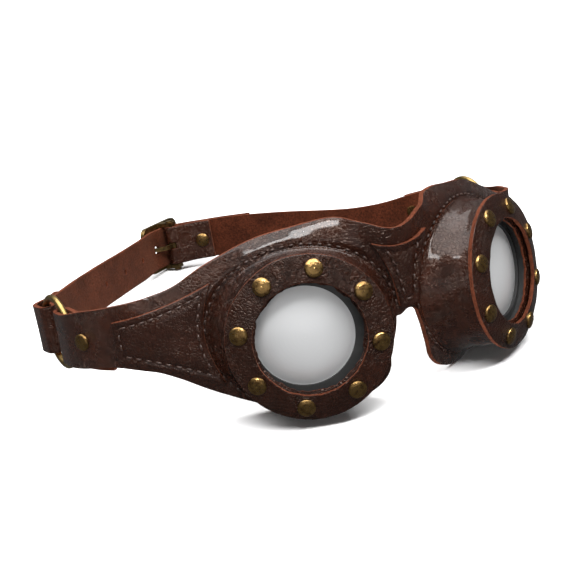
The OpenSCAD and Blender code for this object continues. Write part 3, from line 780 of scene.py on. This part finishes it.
def patch_sheet(name, outline, low_u, sign, stands_for, rows=44, cols=44):
    """Patch leather laid on the mask, pressed down along its stitching."""
    u, v = np.meshgrid(np.linspace(low_u, 1, cols), np.linspace(0, 1, rows), indexing="ij")
    s, w = outline(u, v)
    edge_u = np.minimum(u - low_u, 1 - u) / (1 - low_u)
    edge_v = np.minimum(v, 1 - v)
    span_u = np.abs(s[-1] - s[0])[None]
    span_v = np.abs(w[:, -1] - w[:, 0])[:, None]
    from_rim = np.minimum(edge_u * span_u, edge_v * span_v)
    press = PATCH_RAISE - 0.45 * np.exp(-((from_rim - STITCH_IN) / 0.8) ** 2)
    press = press + 0.3 * smooth(2.5, 7, from_rim)
    base = mask_surface(sign * s, w, 0.05)
    top_face = mask_surface(sign * s, w, PATCH_T + press + 0.1 * ripple(base, 6, 3))
    return closed_sheet(name, "mask", from_mask(top_face), from_mask(base),
                        [PATCH_GRAIN, FLESH, CUT_EDGE], stands_for, 0.35)


def line_on_patch(outline, ends, sign, height):
    """Row-frame points of a straight run between two (u, v) corners of a patch."""
    f = np.linspace(0, 1, 60)
    (u0, v0), (u1, v1) = ends
    s, w = outline(u0 + (u1 - u0) * f, v0 + (v1 - v0) * f)
    return from_mask(mask_surface(sign * s, w, height))


def stitch_run(points, normals, pitch=4.0, length=2.9, radius=0.42):
    """Vertices and faces of separate thread loops along a line of row-frame points."""
    p, at = resampled3(points, STITCH_STEP)
    n = np.stack([np.interp(at, np.linspace(0, at[-1], len(normals)), normals[:, k])
                  for k in range(3)], 1)
    verts, faces = [], []
    count = max(int(at[-1] // pitch), 1)
    start = (at[-1] - (count * pitch - (pitch - length))) / 2
    ring = np.arange(THREAD_SIDES) * math.tau / THREAD_SIDES
    for i in range(count):
        here = start + i * pitch + np.linspace(0, length, THREAD_RINGS)
        row = []
        for j, h in enumerate(here):
            k = int(np.clip(h / STITCH_STEP, 1, len(p) - 2))
            along = p[k + 1] - p[k - 1]
            along /= np.linalg.norm(along)
            up = n[k] / np.linalg.norm(n[k])
            sideways = np.cross(along, up)
            f = j / (len(here) - 1)
            arch = math.sin(math.pi * f)
            fat = radius * (0.55 + 0.45 * arch ** 0.5)
            mid = p[k] + up * (-0.55 + 0.85 * arch ** 0.6)
            row.append(mid + fat * (np.cos(ring)[:, None] * sideways + np.sin(ring)[:, None] * up))
        base = len(verts) * THREAD_SIDES
        verts += row
        for j in range(THREAD_RINGS - 1):
            low = base + j * THREAD_SIDES
            high = low + THREAD_SIDES
            for c in range(THREAD_SIDES):
                d = (c + 1) % THREAD_SIDES
                faces.append([low + c, low + d, high + d, high + c])
        last = base + (THREAD_RINGS - 1) * THREAD_SIDES
        faces += [[base + c for c in range(THREAD_SIDES - 1, -1, -1)],
                  [last + c for c in range(THREAD_SIDES)]]
    return np.concatenate(verts), faces


def resampled3(points, step):
    """The same line in space with points a given step apart, and their distances."""
    p = np.asarray(points, float)
    run = np.concatenate([[0], np.cumsum(np.linalg.norm(np.diff(p, axis=0), axis=1))])
    at = np.arange(0, run[-1], step)
    return np.stack([np.interp(at, run, p[:, k]) for k in range(3)], 1), at


def stitches(name, slot, runs, **sizes):
    """One piece of thread for a seam made of several runs of (points, normals)."""
    verts, faces = [], []
    for points, normals in runs:
        v, f = stitch_run(points, normals, **sizes)
        faces += [[k + sum(len(x) for x in verts) for k in q] for q in f]
        verts.append(v)
    o = make(name, "mask", np.concatenate(verts) * MM, faces, [THREAD])
    o.data.shade_smooth()
    return o


def outward(line_low, line_high):
    """Unit vectors from one line to the other."""
    d = line_high - line_low
    return d / np.linalg.norm(d, axis=1)[:, None]


def patch_stitches(name, outline, runs, sign):
    """Stitching of a patch along runs between its (u, v) corners."""
    made = []
    for ends in runs:
        low = line_on_patch(outline, ends, sign, PATCH_T + PATCH_RAISE - 0.35)
        high = line_on_patch(outline, ends, sign, PATCH_T + PATCH_RAISE + 0.65)
        made.append((low, outward(low, high)))
    return stitches(name, "patch_leather", made)


def build_patches():
    patch_sheet("nose_patch_leather", nose_outline, -1, 1, ["nose_patch"])
    patch_stitches("nose_patch_stitches", nose_outline,
                   [((-0.62, 0.97), (-0.42, 0.1)), ((0.62, 0.97), (0.42, 0.1)),
                    ((-0.42, 0.1), (0.42, 0.1))], 1)
    for name, side in SIDES.items():
        patch_sheet(f"temple_patch_leather_{name}", temple_outline, 0, side,
                    [f"temple_patch_{name}"])
        patch_stitches(f"temple_patch_stitches_{name}", temple_outline,
                       [((0.06, 0.07), (0.93, 0.17)), ((0.06, 0.93), (0.93, 0.83)),
                        ((0.93, 0.17), (0.93, 0.83)), ((0.06, 0.09), (0.06, 0.91))], side)


def build_tube_stitches(name, side):
    """Stitching that holds the foot of a tube to the mask."""
    a = np.radians(np.linspace(0, 360, 361))
    s = side * (S_BASE + (SEAM_A + 1.7) * np.cos(a))
    w = (seam_b(np.sin(a)) + 1.7) * np.sin(a)
    inside = (w < top(s) - 1.2) & (w > bottom(s) + 1.6)
    runs, start = [], None
    for i in range(len(a) + 1):
        ok = i < len(a) and inside[i]
        if ok and start is None:
            start = i
        if not ok and start is not None:
            if i - start > 8:
                low = from_mask(mask_surface(s[start:i], w[start:i], 0.05))
                high = from_mask(mask_surface(s[start:i], w[start:i], 1.05))
                runs.append((low, outward(low, high)))
            start = None
    return stitches(f"tube_stitches_{name}", "tube_leather", runs, pitch=3.6, length=2.5)


# ---------------------------------------------------------------- straps
FOLD_R = BAR_R + 0.25 + LEATHER_T / 2
LIFT = BAR_R + 0.25 + LEATHER_T * 1.5 + 0.5
LEFT_EXIT = 60
CLOSE = LEATHER_T + 0.2
BAR = np.array([BAR_X, BAR_Y], float)
PRONG_HOLE_R, SPARE_HOLE_R, SPARE_HOLES = 2.3, 1.3, 3
STRAP_STEP, TURNED_DARK = 0.8, 36
FAR_DROOP, DROOP_X, DROOP_REACH = 3.5, 72, 24
# Slot in the left strap's fold that the prong stands in: first and last u, first and last out
PRONG_SLOT = (-6.3, 3.7, -3.3, 3.7)


def half_turn(centre, r, start, sweep):
    """Plan arc of a fold round a ring."""
    a = np.radians(start + sweep * np.arange(13) / 12)
    return np.asarray(centre) + r * np.stack([np.cos(a), np.sin(a)], 1)


def at_bar(u, out):
    """Plan point u along the strap from the bar and out from it, in the buckle's own turn."""
    c, d = math.cos(math.radians(BUCKLE_TURN)), math.sin(math.radians(BUCKLE_TURN))
    return BAR + [u * c - out * d, u * d + out * c]


def round_bar(r, angle):
    """Plan point on a circle about the bar."""
    return BAR + r * np.array([math.cos(math.radians(angle)), math.sin(math.radians(angle))])


def layer(path, wide, tight, hold, reach):
    """Layer beside the start of a path: open by wide at first, then lying close."""
    gone = np.linalg.norm(path - path[0], axis=1)
    gap = wide + (tight - wide) * np.clip((gone - hold) / 7, 0, 1)
    return (path + path_normals(path) * gap[:, None])[gone < reach]


LEFT_RUN = spline([round_bar(FOLD_R, LEFT_EXIT), [7, 208.5], [17, 201.5], [29, 190], [44, 171],
                   [60, 151.5], [73, 139], [85, 131], [95, 126], [101.6, 121],
                   [LOOP_X, 115.2], [LOOP_X, LOOP_Y]], 5)
RIGHT_RUN = np.concatenate([
    spline([[-LOOP_X, LOOP_Y], [-LOOP_X, 115.2], [-101.4, 120], [-95, 127.5], [-81, 143.5],
            [-60, 164], [-39, 183.5], [-27, 195], at_bar(-14, LIFT), at_bar(-7, LIFT)], 5),
    [round_bar(LIFT, a) for a in range(90 + BUCKLE_TURN, LEFT_EXIT + 7, -8)],
    layer(LEFT_RUN, LEATHER_T + 0.5, LEATHER_T + 0.95, 0, 44)[1:]])
LEFT_PATH = np.concatenate([
    layer(LEFT_RUN, -2 * FOLD_R, -CLOSE, 3, 22)[::-1],
    [round_bar(FOLD_R, LEFT_EXIT + 180 - i * 15) for i in range(1, 12)],
    LEFT_RUN,
    half_turn([RING_X, LOOP_Y], LOOP_R, 180, 180)[1:],
    layer(LEFT_RUN[::-1], -2 * LOOP_R, -CLOSE, 7, 25)[1:]])
RIGHT_PATH = np.concatenate([
    layer(RIGHT_RUN, 2 * LOOP_R, CLOSE, 7, 25)[::-1],
    half_turn([-RING_X, LOOP_Y], LOOP_R, 180, 180)[1:],
    RIGHT_RUN[1:]])


def build_strap(name, path, droop=0.0, dark_until=0.0):
    """Strap on edge along its plan path: grain on the left of the path, flesh side on the right."""
    p, _ = resampled(path, STRAP_STEP)
    n = path_normals(p)
    rows = 15
    v = np.linspace(-1, 1, rows)
    wave = 0.12 * np.array([noise.noise(Vector((x / 11, y / 11, 2.0))) for x, y in p])
    sag = -droop * np.exp(-((p[:, 0] - DROOP_X) / DROOP_REACH) ** 2)
    cup = 0.18 * (1 - v ** 2)
    grids = []
    for t in (LEATHER_T / 2, -LEATHER_T / 2):
        off = t + cup[None] * 0.6 - 0.1
        x = p[:, 0, None] + n[:, 0, None] * off
        y = p[:, 1, None] + n[:, 1, None] * off
        z = v[None] * (STRAP_W / 2 - 0.15 + wave[:, None]) + sag[:, None]
        grids.append(from_strap(np.stack([x, y, z + 0 * x], 2)))
    o = closed_sheet(f"leather_strap_{name}", "straps", grids[0], grids[1],
                     [STRAP_GRAIN, FLESH, CUT_EDGE], [f"strap_{name}"], round_off=0)
    # The turned-back end shows its dark side all round the fold
    dark = int(dark_until / STRAP_STEP)
    for poly in o.data.polygons:
        if poly.material_index == BACK and min(poly.vertices) % (len(p) * rows) < dark * rows:
            poly.material_index = GRAIN
    return o


def strap_hole(o, centre, angle, r):
    """Punches a round hole through a strap at a plan point."""
    a = np.radians(np.arange(0, 360, 15))
    c, d = math.cos(math.radians(angle)), math.sin(math.radians(angle))
    outline = np.stack([centre[0] + r * np.cos(a) * c, centre[1] + r * np.cos(a) * d,
                        r * np.sin(a)], 1)
    ends = from_strap([[0, 0, 0], [-d, c, 0]])
    cut(o, prism(from_strap(outline), ends[1] - ends[0], 4))


def build_straps():
    """Both straps, with the prong's hole, the spare holes and the slot for the prong."""
    right = build_strap("right", RIGHT_PATH, dark_until=TURNED_DARK)
    start = at_bar(PRONG_HOLE_U, LIFT)
    strap_hole(right, start, BUCKLE_TURN, PRONG_HOLE_R)
    for k in range(1, SPARE_HOLES + 1):
        gone = np.linalg.norm(RIGHT_RUN - start, axis=1)
        i = [j for j in range(8, len(RIGHT_RUN)) if gone[j] < k * HOLE_PITCH][0]
        d = RIGHT_RUN[i] - RIGHT_RUN[i - 1]
        at = start + k * HOLE_PITCH * (RIGHT_RUN[i] - start) / gone[i]
        strap_hole(right, at, math.degrees(math.atan2(d[1], d[0])), SPARE_HOLE_R)
    finish_edges(right, 0.3)
    left = build_strap("left", LEFT_PATH, droop=FAR_DROOP)
    u0, u1, out0, out1 = PRONG_SLOT
    outline = [[*at_bar(u, out), 0] for u, out in ((u0, out0), (u1, out0), (u1, out1), (u0, out1))]
    up = from_strap([[0, 0, 0], [0, 0, 1]])
    cut(left, prism(from_strap(outline), up[1] - up[0], 1.7))
    finish_edges(left, 0.3)


# ---------------------------------------------------------------- CAD pieces that keep their shape
BEVEL_ANGLE = 35


def dress(node, mat, bevel=0.0, angle=35):
    """Gives a CAD node its finish; its mesh stays as it is."""
    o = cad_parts[node]
    o.data.materials.clear()
    o.data.materials.append(mat)
    o.data.shade_smooth()
    o.data.set_sharp_from_angle(angle=math.radians(angle))
    if bevel:
        b = o.modifiers.new("rounded", "BEVEL")
        b.width, b.segments, b.limit_method = bevel * MM, 3, "ANGLE"
        b.angle_limit = math.radians(BEVEL_ANGLE)


build_mask()
build_patches()
for side_name, side_sign in SIDES.items():
    build_tube(side_name, side_sign)
    build_washer(side_name, side_sign)
    build_tube_stitches(side_name, side_sign)
    dress(f"flange_rivets_{side_name}", BRASS)
    dress(f"tab_rivet_{side_name}", BRASS)
    dress(f"strap_rivet_{side_name}", BRASS)
    dress(f"ring_{side_name}", RING_BRASS, angle=60)
    dress(f"lens_{side_name}", MIRROR)
    dress(f"lens_carrier_{side_name}", PLASTIC)
    dress(f"lens_retainer_{side_name}", PLASTIC)
build_straps()
dress("buckle_rivet", BRASS)
dress("buckle_frame", BUCKLE_BRASS, 0.35)
dress("buckle_bar", BUCKLE_BRASS, 0.2)
dress("buckle_prong", BUCKLE_BRASS, 0.25)


# ---------------------------------------------------------------- floor, light and camera
FLOOR_SIZE, FLOOR_GLOW_FROM, FLOOR_GLOW_FULL = 12, 0.8, 1.9
WORLD_STRENGTH = 0.14
# Name, place, aim, width and height, all in metres, and power in watts
SOFT_BOXES = [
    ("overhead_box", (-0.05, 0.2, 1.15), (0, 0, 0.03), (1.7, 1.3), 36),
    ("front_top_box", (-0.05, -0.62, 0.95), (0, 0, 0.03), (1.2, 0.18), 21),
    ("front_card", (-1.0, -1.7, 0.5), (0, -0.08, 0.04), (2.2, 1.0), 5)]
CAMERA_AT = (-0.25153, -0.46376, 0.20191)
CAMERA_AZIMUTH, CAMERA_ELEVATION, CAMERA_ROLL, CAMERA_LENS = -28.88, 19.44, -7.02, 77.3


def build_floor():
    """Plain pale floor, whose own light rises to white far away to keep the backdrop even."""
    bpy.ops.mesh.primitive_plane_add(size=FLOOR_SIZE, location=(0, 0, 0))
    floor = bpy.context.object
    floor.name = "studio_floor"
    m, nodes, links, where = material("studio_floor")
    base = ramp(nodes, links, noise_at(nodes, links, where, 3, 2),
                [(0.3, grey(0.90)), (0.7, grey(0.92))])
    shader = add(nodes, "ShaderNodeBsdfPrincipled", Roughness=0.6)
    links.new(base, shader.inputs["Base Color"])
    # The sweep stays pale far from the object, where the soft boxes no longer reach
    away = nodes.new("ShaderNodeVectorMath")
    away.operation = "LENGTH"
    links.new(where, away.inputs[0])
    reach = nodes.new("ShaderNodeMapRange")
    reach.inputs["From Min"].default_value = FLOOR_GLOW_FROM
    reach.inputs["From Max"].default_value = FLOOR_GLOW_FULL
    links.new(away.outputs["Value"], reach.inputs["Value"])
    glow = ramp(nodes, links, reach.outputs["Result"], [(0, grey(0)), (1, grey(1))])
    links.new(glow, shader.inputs["Emission Color"])
    shader.inputs["Emission Strength"].default_value = 1.0
    close_off(nodes, links, shader)
    floor.data.materials.append(m)
    # The glossy leather and the lenses mirror the dim studio, not the bright floor
    floor.visible_glossy = False


def area_light(name, at, towards, size, power):
    light = bpy.data.lights.new(name, "AREA")
    light.shape, light.energy = "RECTANGLE", power
    light.size, light.size_y = size
    o = bpy.data.objects.new(name, light)
    o.location = at
    o.rotation_euler = (Vector(towards) - Vector(at)).to_track_quat("-Z", "Y").to_euler()
    bpy.context.scene.collection.objects.link(o)


build_floor()
for soft_box in SOFT_BOXES:
    area_light(*soft_box)
world = bpy.data.worlds.new("studio")
world.use_nodes = True
world.node_tree.nodes["Background"].inputs[0].default_value = (1, 1, 1, 1)
world.node_tree.nodes["Background"].inputs[1].default_value = WORLD_STRENGTH
bpy.context.scene.world = world


def build_camera():
    data = bpy.data.cameras.new("camera")
    data.lens, data.sensor_width = CAMERA_LENS, 36
    data.clip_start, data.clip_end = 0.01, 20
    camera = bpy.data.objects.new("camera", data)
    az, el = math.radians(CAMERA_AZIMUTH), math.radians(CAMERA_ELEVATION)
    back = Vector((math.sin(az) * math.cos(el), -math.cos(az) * math.cos(el), math.sin(el)))
    right = Vector((math.cos(az), math.sin(az), 0))
    up = back.cross(right)
    roll = math.radians(CAMERA_ROLL)
    right, up = (right * math.cos(roll) + up * math.sin(roll),
                 up * math.cos(roll) - right * math.sin(roll))
    turned = Matrix((right, up, back)).transposed().to_4x4()
    camera.matrix_world = Matrix.Translation(CAMERA_AT) @ turned
    bpy.context.scene.collection.objects.link(camera)
    bpy.context.scene.camera = camera


build_camera()
bpy.context.scene.view_settings.view_transform = "Standard"
